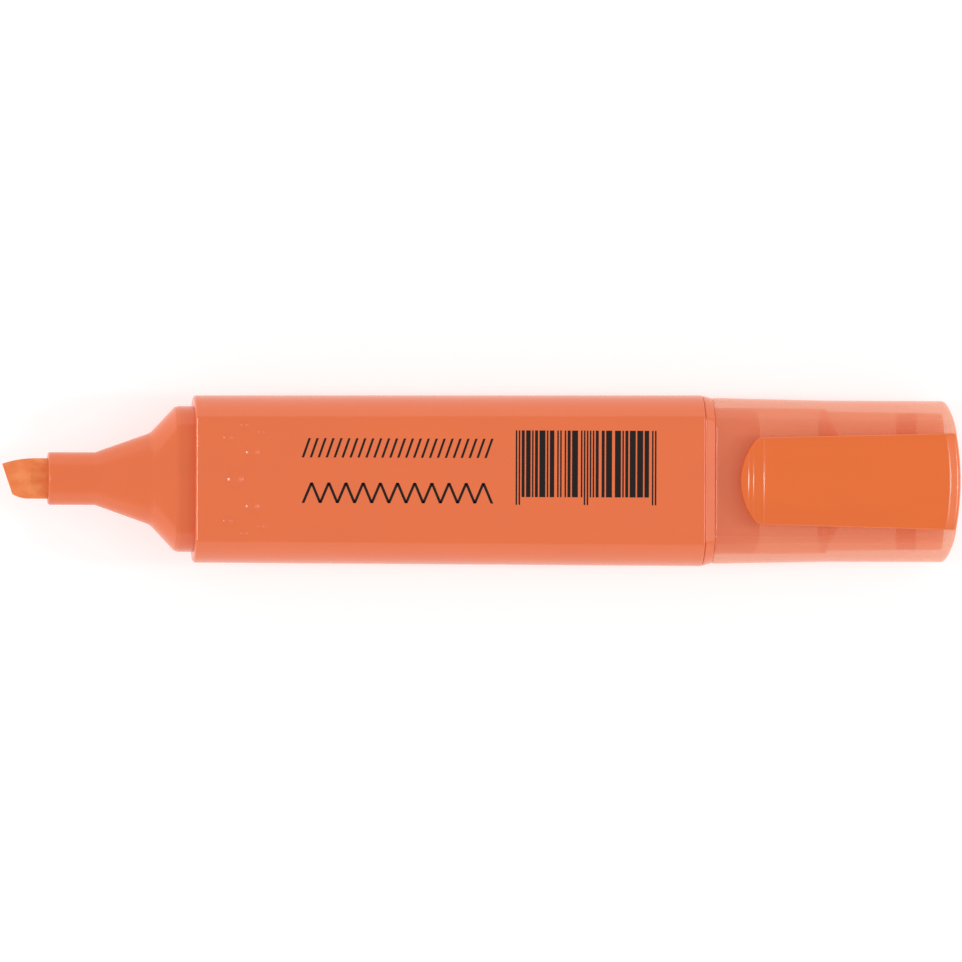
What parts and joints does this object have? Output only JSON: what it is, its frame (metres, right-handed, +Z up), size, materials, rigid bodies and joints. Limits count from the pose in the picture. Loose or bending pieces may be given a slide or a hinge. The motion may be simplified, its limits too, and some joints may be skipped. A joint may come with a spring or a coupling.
{
  "type": "highlighter pen",
  "caption": "Flat-bodied chisel-tip highlighter with raised grip dots, a clear-tinted cap posted on its rear end and a springy opaque clip.",
  "frame": {"origin": "under the middle of the pen's length and width, on the plane that the barrel's lower broad face rests on", "axes": "+X along the pen from the nib to the closed end of the cap, +Y across the broad faces, +Z up through the thickness towards the clip"},
  "size_m": [0.1244, 0.0222, 0.0156],
  "materials": {
    "barrel_plastic": "opaque orange, satin moulded",
    "nib_felt": "pressed fibre soaked with orange ink",
    "core_fibre": "fibre soaked with orange ink",
    "wrap_film": "thin clear film",
    "cap_plastic": "clear-tinted orange, glossy",
    "seal_plastic": "translucent orange, satin",
    "clip_plastic": "opaque deep orange, satin"
  },
  "bodies": {
    "barrel": {"barrel": "barrel_plastic", "nose_section": "barrel_plastic", "chisel_nib": "nib_felt", "ink_core": "core_fibre", "reservoir_wrap": "wrap_film", "rear_plug": "barrel_plastic"},
    "cap": {"cap_shell": "cap_plastic", "inner_cap": "seal_plastic", "clip_root": "clip_plastic"},
    "clip": {"clip_arm": "clip_plastic"}
  },
  "joints": [
    {"name": "cap_slide", "type": "slide", "parent": "barrel", "child": "cap", "axis": [1, 0, 0], "range_m": [0, 0.04]},
    {"name": "clip_flex", "type": "hinge", "parent": "cap", "child": "clip", "pos_m": [0.06026, 0, 0.01495], "axis": [0, 1, 0], "range_deg": [0, 5], "stiffness_Nm_per_rad": 0.3}
  ]
}
